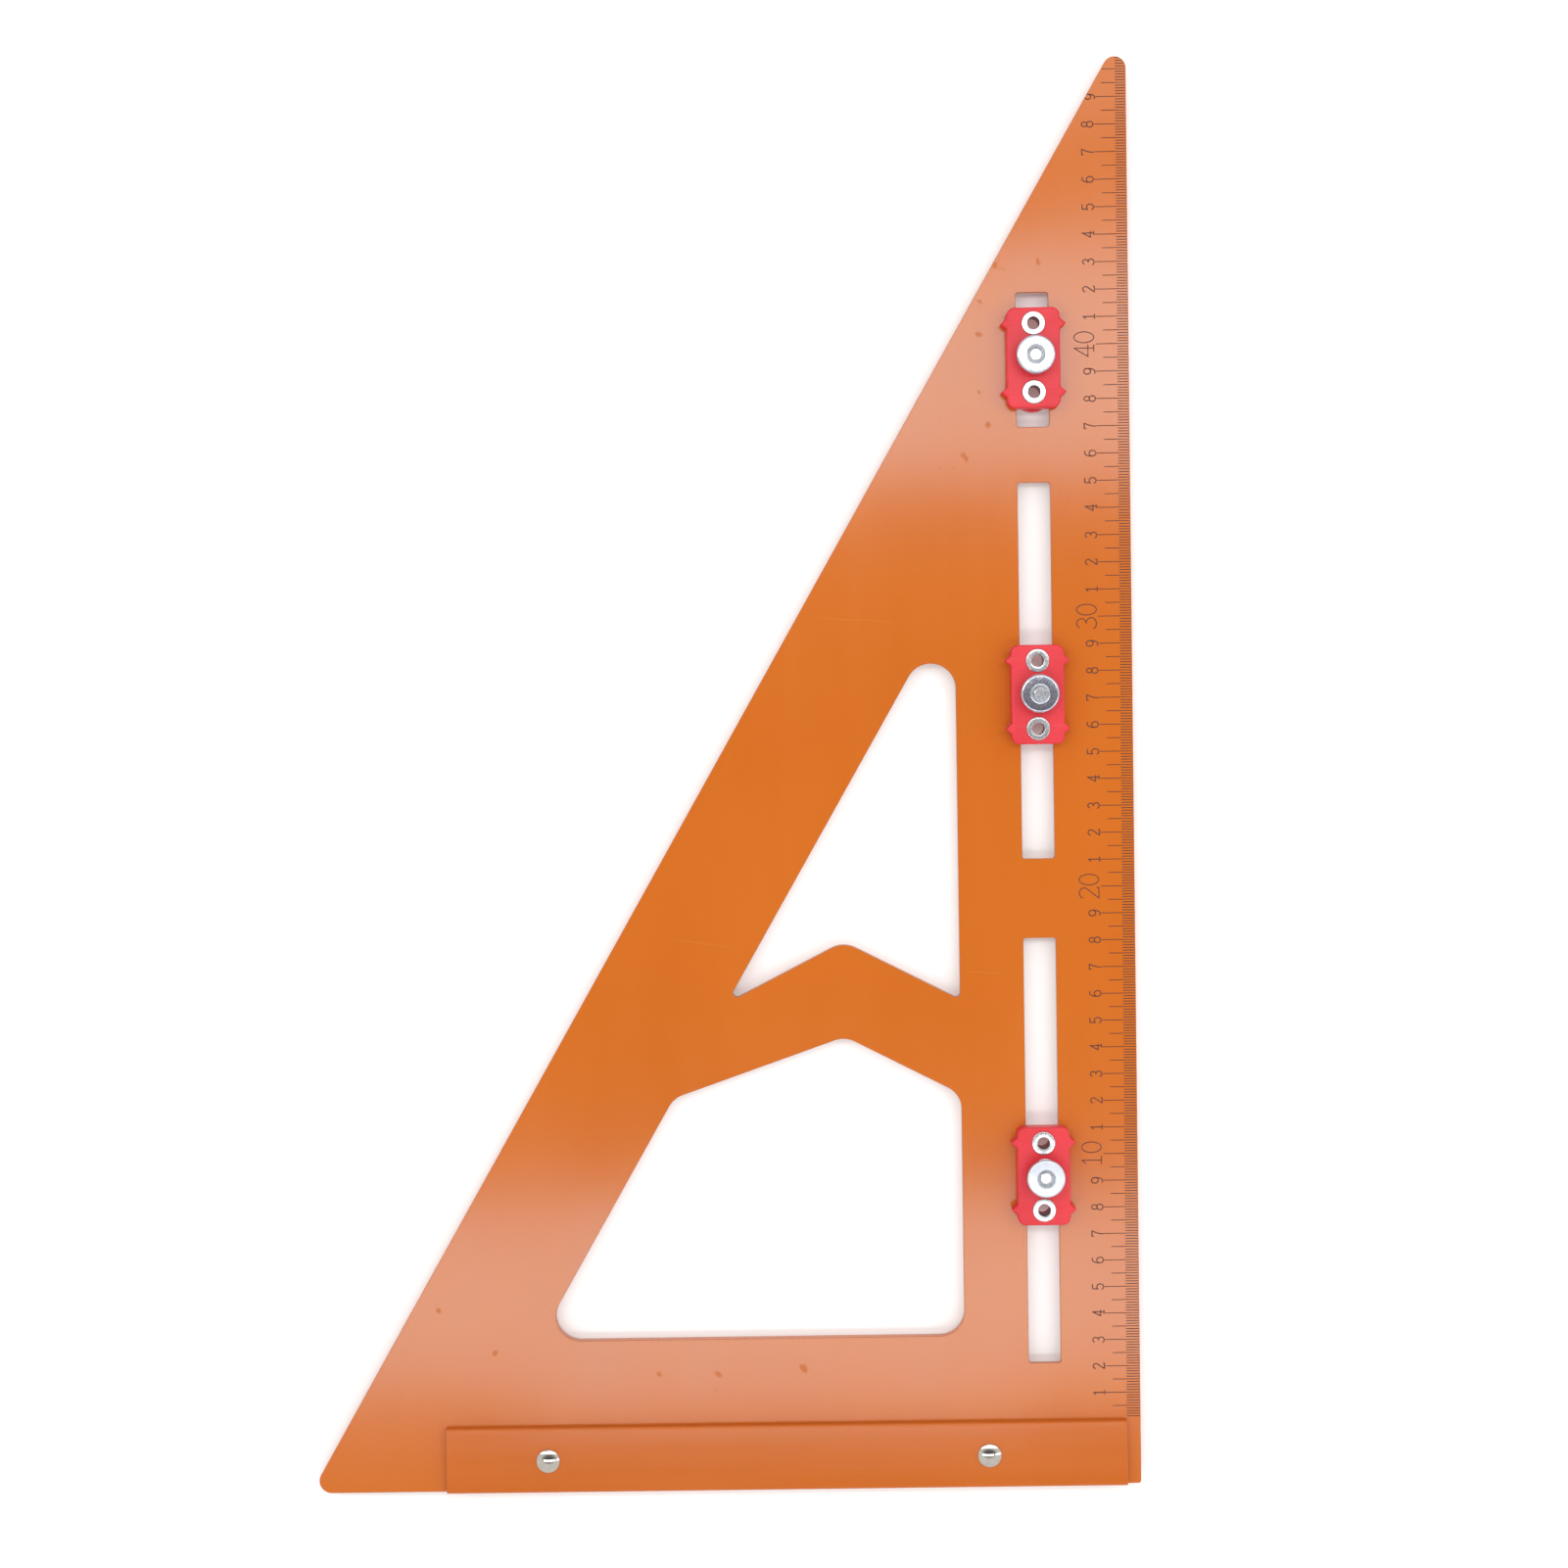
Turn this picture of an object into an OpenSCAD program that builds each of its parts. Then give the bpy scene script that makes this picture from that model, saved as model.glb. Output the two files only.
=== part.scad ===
// Rafter square: a 30/60/90 triangle plate with a fence bar on both faces of
// its short leg, and three clamped drill guides that slide in slots along the
// scale edge. Lies flat, +Z up, scale edge towards +X, tip towards +Y.
// Origin: centre of the footprint, on the surface that the fence rests on.

/* [Plate] */
// Long leg of the triangle, to its sharp corners
long_leg = 540.5; // [536:0.5:560]
// Angle at the tip, between the scale edge and the sloping edge
tip_angle = 30; // [29.5:0.1:31]
// Thickness of the plate
plate_t = 4; // [4:0.5:6]
// Radius of the rounded tip
tip_r = 4.2; // [2:0.1:6]
// Radius of the rounded corner at the far end of the short leg
toe_r = 4.6; // [2:0.1:8]
// Radius of the right-angled corner
heel_r = 1; // [0.5:0.1:3]

/* [Cut-outs] */
// Width of the band left along the sloping edge
band_w = 47; // [44:0.5:50]
// Width of the post left along the scale edge
post_w = 65.3; // [60:0.1:70]
// Radius of the large cut-out corners
cut_r = 9.3; // [7:0.1:10]
// Radius of the two lower corners of the upper cut-out
cut_small_r = 1.5; // [1:0.1:2.5]
// Distance of both ridges from the scale edge
ridge_x = 108.4; // [104:0.1:112]
// Height of a ridge above its eaves
ridge_rise = 22.2; // [18:0.1:26]
// Radius on the ridge that stands up into the upper cut-out
ridge_r = 10; // [6:0.5:14]
// Level of the upper cut-out's lower corners above the scale's zero
upper_eaves_y = 158.5; // [154:0.5:162]
// Level of the lower cut-out's upper corners above the scale's zero
lower_eaves_y = 123; // [118:0.5:126]
// Level of the lower cut-out's straight bottom edge above the scale's zero
lower_sill_y = 32.1; // [28:0.1:40]

/* [Slots] */
// Width of the slots
slot_w = 12; // [12:0.1:12.6]
// Distance of the slots' centre line from the scale edge
slot_x = 35.5; // [34:0.1:37]
// Radius in the slots' corners
slot_r = 1; // [0.5:0.1:1.5]
// Lower end of the upper slot on the scale
upper_slot_from = 370; // [366:0.5:370]
// Upper end of the upper slot on the scale
upper_slot_to = 419.2; // [419:0.1:424]
// Lower end of the middle slot on the scale
middle_slot_from = 210.6; // [205:0.1:211]
// Upper end of the middle slot on the scale
middle_slot_to = 349.6; // [349:0.1:354]
// Lower end of the lower slot on the scale
lower_slot_from = 21.5; // [18:0.1:22]
// Upper end of the lower slot on the scale
lower_slot_to = 181; // [180:0.1:185]
// Width of the step in the underside of each slot
step_w = 18.6; // [18.6:0.1:20]
// Depth of the step in the underside of each slot
step_d = 2; // [2:0.1:2.2]
// How far the step runs past each end of its slot
step_over = 2; // [1.5:0.1:3]

/* [Fence] */
// Width of each fence bar, which is also the scale's zero above the short leg
fence_w = 24.5; // [23:0.1:26]
// Length of each fence bar
fence_l = 255.2; // [240:0.1:260]
// Thickness of each fence bar
fence_t = 3.4; // [3:0.1:6]
// Gap from the scale edge to the end of the fence
fence_inset = 5.2; // [4:0.1:8]
// Chamfer on the fence bars' outer edges
fence_c = 1; // [0.3:0.1:1.2]
// Distance of the near rivet from the scale edge
rivet_near_x = 56.8; // [50:0.1:70]
// Distance of the far rivet from the scale edge
rivet_far_x = 222; // [210:0.1:230]
// Diameter of the rivets' domed heads
rivet_head_d = 8.8; // [8:0.1:10]
// Height of the rivets' domed heads
rivet_head_h = 1.6; // [1.4:0.1:2.4]
// Height of the upright edge around a rivet's head
rivet_edge_h = 0.55; // [0.3:0.05:0.8]
// Diameter of the rivets' shanks
rivet_d = 5; // [4:0.1:5.5]
// Diameter of the rivets' countersunk tails
rivet_tail_d = 8; // [7:0.1:9]

/* [Drill guides] */
// Scale reading of the upper guide's centre
upper_guide_y = 394.7; // [394:0.1:395]
// Scale reading of the middle guide's centre
middle_guide_y = 271.5; // [235:0.1:325]
// Scale reading of the lower guide's centre
lower_guide_y = 92.9; // [45:0.1:155]
// Width of a guide body without its pointers
guide_w = 19.5; // [19:0.1:21]
// Length of a guide body
guide_l = 36.6; // [36.5:0.1:38]
// Height of a guide body above the plate
guide_h = 6.5; // [6.5:0.1:8]
// Corner radius of a guide body
guide_r = 3; // [2.5:0.1:4]
// Chamfer around the top of a guide body
guide_c = 0.8; // [0.4:0.1:1.2]
// Distance between the points of opposite pointers
pointer_span = 24; // [23:0.1:26]
// Width of a pointer at its root
pointer_w = 3.8; // [3:0.1:5]
// Height of a pointer above the plate
pointer_h = 5.7; // [2:0.1:5.7]
// Distance between the two drill bushes
bush_pitch = 25; // [24.8:0.1:25.2]
// Outside diameter of a drill bush
bush_d = 8.6; // [8.2:0.1:9]
// Bore of a drill bush
bush_bore = 4.6; // [3:0.1:6]
// How far a drill bush stands out of the guide body
bush_proud = 0.4; // [0.2:0.1:1]

/* [Clamps] */
// Diameter of a thumb nut's head
nut_d = 14.1; // [13.5:0.1:14.5]
// Height of a thumb nut
nut_h = 7.4; // [6:0.1:9]
// Thickness of a thumb nut's knurled head
nut_head_h = 3.4; // [2.6:0.1:4.5]
// Diameter of the collar below a thumb nut's head
nut_collar_d = 10; // [9:0.1:12]
// Edge chamfer of a thumb nut
nut_c = 0.7; // [0.4:0.1:1]
// Number of knurl grooves around a thumb nut
nut_grooves = 60; // [40:1:72]
// Sideways distance of a clamp's axis from the middle of its guide
stud_off_x = 0.3; // [0:0.05:0.5]
// Distance of a clamp's axis from the middle of its guide along the slot
stud_off_y = 0.45; // [0:0.05:0.5]
// Thread diameter of a clamp stud
stud_d = 5; // [4:0.1:5]
// Diameter at the bottom of a clamp stud's end chamfer
stud_tip_d = 4.1; // [3:0.1:4.2]
// How far a stud's end stays below the top of its nut
stud_sunk = 1.3; // [0.8:0.1:2]
// Diameter of a stud's pressed-in head
stud_head_d = 8.8; // [7:0.1:8.8]
// Thickness of a stud's pressed-in head
stud_head_h = 1.3; // [0.8:0.1:1.4]
// Width of a shoe's flange
shoe_w = 18; // [17:0.1:18]
// Width of a shoe's neck, which runs in the slot
shoe_neck_w = 11.6; // [11.4:0.1:11.6]
// Length of the necks of the middle and lower shoes
shoe_l = 34.8; // [34:0.1:37]
// Length of the upper shoe's neck, whose round end shows below its guide
upper_shoe_l = 38.2; // [34:0.1:38.6]
// Radius of the round ends of a shoe's neck
shoe_end_r = 7.6; // [6.5:0.1:14]
// Length of a shoe's flange
shoe_flange_l = 34; // [33:0.1:34.6]
// Diameter of the holes in a shoe, below the drill bushes
shoe_hole_d = 5.2; // [4.8:0.1:8]

/* [Hidden] */
$fn = 96;
eps = 0.5;
// corner arcs stand this far past the straight edges that they run into
blend = 0.003;

orange = [0.88, 0.47, 0.20];
fence_orange = [0.85, 0.43, 0.18];
red = [0.80, 0.16, 0.15];
steel = [0.70, 0.71, 0.73];
zinc = [0.72, 0.75, 0.80];
nickel = [0.86, 0.87, 0.88];

// levels
plate_z = fence_t;
plate_top = plate_z + plate_t;
guide_gap = 0.05;
guide_z = plate_top + guide_gap;
guide_top = guide_z + guide_h;
nut_z = guide_top + guide_gap;
nut_top = nut_z + nut_h;
shoe_z = plate_z + 0.1;
shoe_flange_t = step_d - 0.2;
shoe_top = plate_top - 0.2;

// triangle in scale coordinates: scale edge on x = 0, scale zero on y = 0
tip_y = long_leg - fence_w;
toe_x = -long_leg * tan(tip_angle);
toe_left = toe_x + toe_r / tan((90 - tip_angle) / 2) - toe_r - blend;
tip_top = tip_y - tip_r / tan(tip_angle / 2) + tip_r + blend;
// shift that brings the footprint's centre to the origin
sx = -toe_left / 2;
sy = -(tip_top - fence_w) / 2;

// sloping line at a perpendicular distance d inside the sloping edge
function slope_y(x, d) = tip_y - d / sin(tip_angle) + x / tan(tip_angle);
function slope_x(y, d) = (y - tip_y + d / sin(tip_angle)) * tan(tip_angle);

// corner p between neighbours a and b
function unit(v) = v / norm(v);
function half_angle(p, a, b) = acos(unit(a - p) * unit(b - p)) / 2;
function touch(p, a, b, r) = p + unit(a - p) * r / tan(half_angle(p, a, b));
function arc_centre(p, a, b, r) = p + unit(unit(a - p) + unit(b - p)) * r / sin(half_angle(p, a, b));
function at(v, i) = v[(i + len(v)) % len(v)];

// prism on a polygon whose corners have the given radii; a negative radius
// rounds a corner that points into the outline
module round_prism(pts, radii, h) {
    n = len(pts);
    difference() {
        union() {
            linear_extrude(h) polygon([for (i = [0:n - 1]) each [
                touch(pts[i], at(pts, i - 1), at(pts, i + 1), abs(radii[i])),
                touch(pts[i], at(pts, i + 1), at(pts, i - 1), abs(radii[i]))]]);
            for (i = [0:n - 1]) if (radii[i] > 0)
                translate(arc_centre(pts[i], at(pts, i - 1), at(pts, i + 1), radii[i])) cylinder(r = radii[i] + blend, h = h);
        }
        for (i = [0:n - 1]) if (radii[i] < 0)
            translate(concat(arc_centre(pts[i], at(pts, i - 1), at(pts, i + 1), -radii[i]), [-1])) cylinder(r = -radii[i] + blend, h = h + 2);
    }
}

// upright block with rounded corners, centred on the z axis
module round_block(w, l, h, r) {
    union() {
        translate([-w / 2, -l / 2 + r, 0]) cube([w, l - 2 * r, h]);
        translate([-w / 2 + r, -l / 2, 0]) cube([w - 2 * r, l, h]);
        for (i = [-1, 1], j = [-1, 1]) translate([i * (w / 2 - r), j * (l / 2 - r), 0]) cylinder(r = r, h = h);
    }
}

// bar of trapezoid section along y: width w below, w - 2c above
module bevel_strip(w, l, c) {
    translate([0, l / 2, 0]) rotate([90, 0, 0]) linear_extrude(l) polygon([[-w / 2, 0], [w / 2, 0], [w / 2 - c, c], [-w / 2 + c, c]]);
}

// rounded block with a chamfer around its top
module bevel_block(w, l, h, r, c) {
    union() {
        round_block(w, l, h - c, r);
        translate([0, 0, h - c]) {
            bevel_strip(w, l - 2 * r, c);
            rotate([0, 0, 90]) bevel_strip(l, w - 2 * r, c);
            for (i = [-1, 1], j = [-1, 1]) translate([i * (w / 2 - r), j * (l / 2 - r), 0]) cylinder(r1 = r, r2 = r - c, h = c);
        }
    }
}

module slot_hole(y0, y1) {
    translate([-slot_x, (y0 + y1) / 2, plate_z - eps]) round_block(slot_w, y1 - y0, plate_t + 2 * eps, slot_r);
    translate([-slot_x, (y0 + y1) / 2, plate_z - eps]) round_block(step_w, y1 - y0 + 2 * step_over, step_d + eps, 2);
}

module upper_cut_out() {
    e = upper_eaves_y;
    pts = [[-post_w, slope_y(-post_w, band_w)], [slope_x(e, band_w), e], [-ridge_x, e + ridge_rise], [-post_w, e]];
    translate([0, 0, plate_z - eps]) round_prism(pts, [cut_r, cut_small_r, -ridge_r, cut_small_r], plate_t + 2 * eps);
}

module lower_cut_out() {
    e = lower_eaves_y;
    s = lower_sill_y;
    pts = [[-ridge_x, e + ridge_rise], [slope_x(e, band_w), e], [slope_x(s, band_w), s], [-post_w, s], [-post_w, e]];
    translate([0, 0, plate_z - eps]) round_prism(pts, [cut_r, cut_r, cut_r, cut_r, cut_r], plate_t + 2 * eps);
}

module plate() {
    color(orange) translate([sx, sy, 0]) difference() {
        translate([0, 0, plate_z]) round_prism([[0, tip_y], [toe_x, -fence_w], [0, -fence_w]], [tip_r, toe_r, heel_r], plate_t);
        upper_cut_out();
        lower_cut_out();
        slot_hole(upper_slot_from, upper_slot_to);
        slot_hole(middle_slot_from, middle_slot_to);
        slot_hole(lower_slot_from, lower_slot_to);
        for (x = [rivet_near_x, rivet_far_x]) translate([-x, -fence_w / 2, plate_z - eps]) cylinder(d = rivet_d, h = plate_t + 2 * eps);
    }
}

// fence bar with square ends and its chamfered face at z = fence_t
module fence_bar() {
    translate([-fence_inset - fence_l / 2, -fence_w / 2, 0]) union() {
        translate([-fence_l / 2, -fence_w / 2, 0]) cube([fence_l, fence_w, fence_t - fence_c]);
        translate([0, 0, fence_t - fence_c]) intersection() {
            bevel_strip(fence_l, fence_w, fence_c);
            rotate([0, 0, 90]) bevel_strip(fence_w, fence_l, fence_c);
        }
    }
}

module rivet_holes() {
    for (x = [rivet_near_x, rivet_far_x]) translate([-x, -fence_w / 2, -eps]) cylinder(d = rivet_d, h = 2 * fence_t + plate_t + 2 * eps);
}

module fence_top_bar() {
    color(fence_orange) translate([sx, sy, 0]) difference() {
        translate([0, 0, plate_top]) fence_bar();
        rivet_holes();
    }
}

module fence_bottom_bar() {
    color(fence_orange) translate([sx, sy, 0]) difference() {
        translate([0, 0, fence_t]) mirror([0, 0, 1]) fence_bar();
        rivet_holes();
        for (x = [rivet_near_x, rivet_far_x]) translate([-x, -fence_w / 2, 0]) rivet_tail();
    }
}

// countersunk tail of a rivet, flush with the surface at z = 0
module rivet_tail() {
    c = (rivet_tail_d - rivet_d) / 2;
    cylinder(d1 = rivet_tail_d, d2 = rivet_d, h = c);
}

// low domed head, shank through both bars and the plate, countersunk tail
module rivet(x) {
    top = plate_top + fence_t;
    crown = rivet_head_h - rivet_edge_h;
    rr = (rivet_head_d * rivet_head_d / 4 + crown * crown) / (2 * crown);
    color(nickel) translate([sx - x, sy - fence_w / 2, 0]) union() {
        rivet_tail();
        cylinder(d = rivet_d, h = top + 0.2);
        intersection() {
            translate([0, 0, top + rivet_head_h - rr]) sphere(r = rr);
            translate([0, 0, top]) cylinder(d = rivet_head_d, h = rivet_head_h + 1);
        }
    }
}
module fence_rivet_near() { rivet(rivet_near_x); }
module fence_rivet_far() { rivet(rivet_far_x); }

module at_guide(y) { translate([sx - slot_x, sy + y, 0]) children(); }

// pointer rib with its point away from the body, level with a bush
module pointer(side, y) {
    translate([0, y, guide_z]) linear_extrude(pointer_h) polygon([
        [side * (guide_w / 2 - 1), -pointer_w / 2 * (pointer_span / 2 - guide_w / 2 + 1) / (pointer_span / 2 - guide_w / 2)],
        [side * pointer_span / 2, 0],
        [side * (guide_w / 2 - 1), pointer_w / 2 * (pointer_span / 2 - guide_w / 2 + 1) / (pointer_span / 2 - guide_w / 2)]]);
}

module guide_body() {
    color(red) difference() {
        union() {
            translate([0, 0, guide_z]) bevel_block(guide_w, guide_l, guide_h, guide_r, guide_c);
            for (side = [-1, 1], y = [-1, 1]) pointer(side, y * bush_pitch / 2);
        }
        for (y = [-1, 1]) translate([0, y * bush_pitch / 2, guide_z - eps]) cylinder(d = bush_d, h = guide_h + 2 * eps);
        translate([stud_off_x, stud_off_y, guide_z - eps]) cylinder(d = stud_d + 0.6, h = guide_h + 2 * eps);
    }
}

// bush from the underside of the guide body to just above its top
module drill_bush(side) {
    z0 = guide_z;
    z1 = guide_top + bush_proud;
    c = 0.4;
    color(steel) translate([0, side * bush_pitch / 2, 0]) rotate_extrude() polygon([
        [bush_bore / 2, z0 + c], [bush_bore / 2 + c, z0], [bush_d / 2 - c, z0], [bush_d / 2, z0 + c],
        [bush_d / 2, z1 - c], [bush_d / 2 - c, z1], [bush_bore / 2 + c, z1], [bush_bore / 2, z1 - c]]);
}

// knurled head on a narrower collar, with a countersunk thread hole
module thumb_nut() {
    r = nut_d / 2;
    q = nut_collar_d / 2;
    b = stud_d / 2 + 0.05;
    m = 1;
    hz = nut_top - nut_head_h;
    color(zinc) translate([stud_off_x, stud_off_y, 0]) difference() {
        rotate_extrude() polygon([
            [b, nut_z], [q - 0.3, nut_z], [q, nut_z + 0.3], [q, hz], [r - nut_c, hz], [r, hz + nut_c],
            [r, nut_top - nut_c], [r - nut_c, nut_top], [b + m, nut_top], [b, nut_top - m]]);
        for (i = [0:nut_grooves - 1]) rotate([0, 0, i * 360 / nut_grooves])
            translate([r + 0.18, 0, hz + nut_c + 0.1]) cylinder(r = 0.3, h = nut_head_h - 2 * nut_c - 0.2, $fn = 24);
    }
}

// stud with a flat head pressed into the shoe and a chamfered threaded end
module clamp_stud() {
    z1 = nut_top - stud_sunk;
    c = (stud_d - stud_tip_d) / 2;
    color(zinc) translate([stud_off_x, stud_off_y, 0]) rotate_extrude() polygon([
        [0, shoe_z], [stud_head_d / 2, shoe_z], [stud_head_d / 2, shoe_z + stud_head_h], [stud_d / 2, shoe_z + stud_head_h],
        [stud_d / 2, z1 - c], [stud_tip_d / 2, z1], [0, z1]]);
}

// shoe: flange in the step under the plate, neck with round ends in the slot
module slot_shoe(l) {
    h = shoe_top - shoe_z;
    corner_y = l / 2 - shoe_end_r + sqrt(shoe_end_r * shoe_end_r - shoe_neck_w * shoe_neck_w / 4);
    color(red) difference() {
        union() {
            translate([0, 0, shoe_z]) round_block(shoe_w, shoe_flange_l, shoe_flange_t, guide_r);
            translate([-shoe_neck_w / 2, -corner_y, shoe_z]) cube([shoe_neck_w, 2 * corner_y, h]);
            for (j = [-1, 1]) intersection() {
                translate([0, j * (l / 2 - shoe_end_r), shoe_z]) cylinder(r = shoe_end_r, h = h);
                translate([-shoe_neck_w / 2, j > 0 ? 0 : -l, shoe_z]) cube([shoe_neck_w, l, h]);
            }
        }
        for (j = [-1, 1]) translate([0, j * bush_pitch / 2, shoe_z - eps]) cylinder(d = shoe_hole_d, h = plate_t + 2 * eps);
        translate([stud_off_x, stud_off_y, shoe_z - eps]) cylinder(d = stud_d, h = plate_t + 2 * eps);
        translate([stud_off_x, stud_off_y, shoe_z - eps]) cylinder(d = stud_head_d, h = stud_head_h + eps);
    }
}

module upper_guide_body() { at_guide(upper_guide_y) guide_body(); }
module upper_drill_bush_a() { at_guide(upper_guide_y) drill_bush(1); }
module upper_drill_bush_b() { at_guide(upper_guide_y) drill_bush(-1); }
module upper_thumb_nut() { at_guide(upper_guide_y) thumb_nut(); }
module upper_clamp_stud() { at_guide(upper_guide_y) clamp_stud(); }
module upper_slot_shoe() { at_guide(upper_guide_y) slot_shoe(upper_shoe_l); }
module middle_guide_body() { at_guide(middle_guide_y) guide_body(); }
module middle_drill_bush_a() { at_guide(middle_guide_y) drill_bush(1); }
module middle_drill_bush_b() { at_guide(middle_guide_y) drill_bush(-1); }
module middle_thumb_nut() { at_guide(middle_guide_y) thumb_nut(); }
module middle_clamp_stud() { at_guide(middle_guide_y) clamp_stud(); }
module middle_slot_shoe() { at_guide(middle_guide_y) slot_shoe(shoe_l); }
module lower_guide_body() { at_guide(lower_guide_y) guide_body(); }
module lower_drill_bush_a() { at_guide(lower_guide_y) drill_bush(1); }
module lower_drill_bush_b() { at_guide(lower_guide_y) drill_bush(-1); }
module lower_thumb_nut() { at_guide(lower_guide_y) thumb_nut(); }
module lower_clamp_stud() { at_guide(lower_guide_y) clamp_stud(); }
module lower_slot_shoe() { at_guide(lower_guide_y) slot_shoe(shoe_l); }

plate();
fence_top_bar();
fence_bottom_bar();
fence_rivet_near();
fence_rivet_far();
upper_guide_body();
upper_drill_bush_a();
upper_drill_bush_b();
upper_thumb_nut();
upper_clamp_stud();
upper_slot_shoe();
middle_guide_body();
middle_drill_bush_a();
middle_drill_bush_b();
middle_thumb_nut();
middle_clamp_stud();
middle_slot_shoe();
lower_guide_body();
lower_drill_bush_a();
lower_drill_bush_b();
lower_thumb_nut();
lower_clamp_stud();
lower_slot_shoe();
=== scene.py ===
import math

import bpy
from mathutils import Matrix, Vector
from mathutils.geometry import delaunay_2d_cdt


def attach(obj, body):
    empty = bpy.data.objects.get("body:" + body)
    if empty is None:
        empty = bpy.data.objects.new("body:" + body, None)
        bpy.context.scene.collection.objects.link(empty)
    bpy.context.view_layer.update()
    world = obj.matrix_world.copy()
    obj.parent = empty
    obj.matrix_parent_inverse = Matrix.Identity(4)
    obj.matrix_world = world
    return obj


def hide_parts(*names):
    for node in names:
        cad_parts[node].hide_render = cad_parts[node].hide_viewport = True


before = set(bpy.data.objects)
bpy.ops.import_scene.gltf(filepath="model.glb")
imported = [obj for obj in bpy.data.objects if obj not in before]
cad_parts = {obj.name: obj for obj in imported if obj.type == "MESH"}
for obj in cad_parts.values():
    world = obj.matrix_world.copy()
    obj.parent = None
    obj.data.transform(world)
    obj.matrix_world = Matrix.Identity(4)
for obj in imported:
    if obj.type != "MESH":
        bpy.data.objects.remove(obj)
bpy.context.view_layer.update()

# ---------------------------------------------------------------- sizes, in mm
# x = 0 on the scale edge, y = 0 at the scale's zero, z = 0 under the lower bar
LONG_LEG, FENCE_W = 540.5, 24.5
TIP_R, TOE_R, HEEL_R = 4.2, 4.6, 1.0
PLATE_Z, PLATE_TOP, BAR_T = 3.4, 7.4, 3.4
TAN30 = math.tan(math.radians(30))
TIP_Y = LONG_LEG - FENCE_W
TOE_X = -LONG_LEG * TAN30
SX = -(TOE_X + TOE_R / TAN30 - TOE_R - 0.003) / 2
SY = -(TIP_Y - TIP_R / math.tan(math.radians(15)) + TIP_R + 0.003 - FENCE_W) / 2
SLOT_X = -35.5
GUIDES = {"upper": 394.7, "middle": 271.5, "lower": 92.9}
GUIDE_Z, GUIDE_TOP = 7.45, 13.95
NUT_Z, HEAD_Z, NUT_TOP = 14.0, 18.0, 21.4
SHOE_Z = 3.5
STUD_X, STUD_Y = 0.3, 0.45
PITCH = 0.8


# ---------------------------------------------------------------- mesh tools
def rounded(pts, radii, step=5.0, closed=True):
    """Points of an outline whose corners are arcs of the given radii."""
    out, n = [], len(pts)
    for i in range(n):
        p, r = Vector(pts[i]), radii[i]
        if r <= 0 or (not closed and i in (0, n - 1)):
            out.append((p.x, p.y))
            continue
        ua = (Vector(pts[i - 1]) - p).normalized()
        ub = (Vector(pts[(i + 1) % n]) - p).normalized()
        half = math.acos(max(-1, min(1, ua.dot(ub)))) / 2
        c = p + (ua + ub).normalized() * (r / math.sin(half))
        s, e = p + ua * (r / math.tan(half)) - c, p + ub * (r / math.tan(half)) - c
        a0, a1 = math.atan2(s.y, s.x), math.atan2(e.y, e.x)
        da = (a1 - a0 + math.pi) % (2 * math.pi) - math.pi
        k = max(2, math.ceil(abs(da) / math.radians(step)))
        for j in range(k + 1):
            a = a0 + da * j / k
            out.append((c.x + r * math.cos(a), c.y + r * math.sin(a)))
    return out


def block(x0, x1, y0, y1, r, step=6.0):
    return rounded([(x0, y0), (x1, y0), (x1, y1), (x0, y1)], [r] * 4, step)


def circle(r, n=64, x=0.0, y=0.0):
    return [(x + r * math.cos(2 * math.pi * i / n), y + r * math.sin(2 * math.pi * i / n)) for i in range(n)]


def grown(loop, d):
    """An anticlockwise loop moved outwards by d, or inwards if d is negative."""
    out, n = [], len(loop)
    for i in range(n):
        p = Vector(loop[i])
        e0 = (p - Vector(loop[i - 1])).normalized()
        e1 = (Vector(loop[(i + 1) % n]) - p).normalized()
        n0, n1 = Vector((e0.y, -e0.x)), Vector((e1.y, -e1.x))
        m = (n0 + n1) / max(0.2, 1 + n0.dot(n1))
        out.append((p.x + m.x * d, p.y + m.y * d))
    return out


def edge_round(b, segs=3):
    """(inset, rise) pairs of a rounded edge of radius b, from the wall to the face."""
    return [(b * (1 - math.cos(math.pi / 2 * k / segs)), b * math.sin(math.pi / 2 * k / segs)) for k in range(segs + 1)]


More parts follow.
